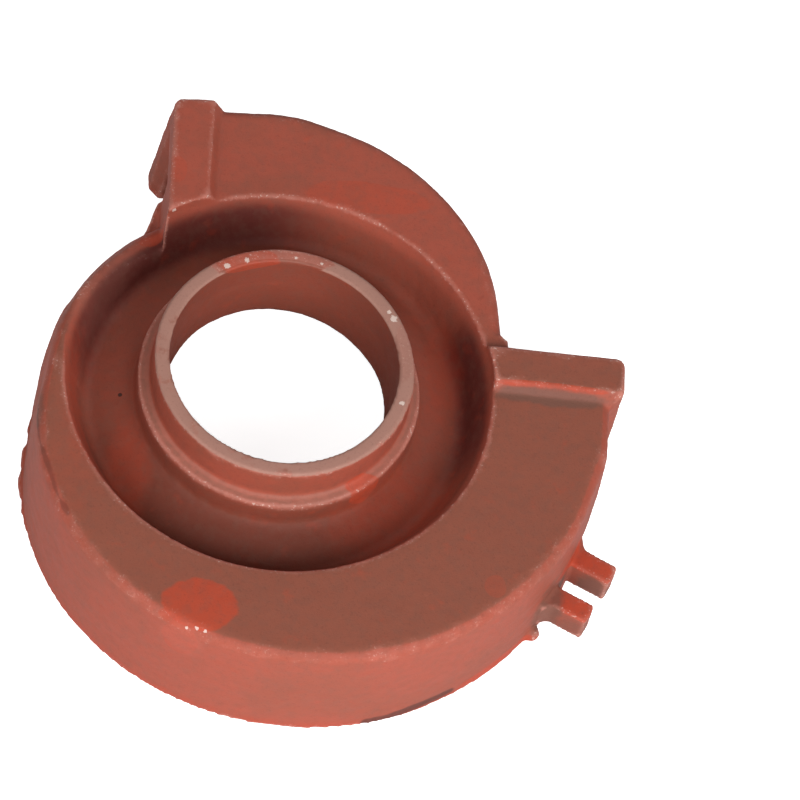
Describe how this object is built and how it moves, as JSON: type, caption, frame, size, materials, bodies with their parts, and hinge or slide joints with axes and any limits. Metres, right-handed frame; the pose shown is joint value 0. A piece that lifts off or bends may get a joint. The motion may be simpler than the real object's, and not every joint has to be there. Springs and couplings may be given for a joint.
{
  "type": "volute pump casing",
  "caption": "Cast iron pump volute with a central inlet neck, spiral discharge channels ending in collared mouths, and a forked lug.",
  "frame": {"origin": "on the impeller axis, in the plane of the open back", "axes": "+Z along the impeller axis towards the inlet neck; -X the way the first mouth faces; +Y the way the second mouth faces"},
  "size_m": [0.1937, 0.2055, 0.0585],
  "materials": {
    "painted_iron": "red primer paint on a rough sand casting"
  },
  "bodies": {
    "root": {"volute_casing": "painted_iron"}
  },
  "joints": []
}
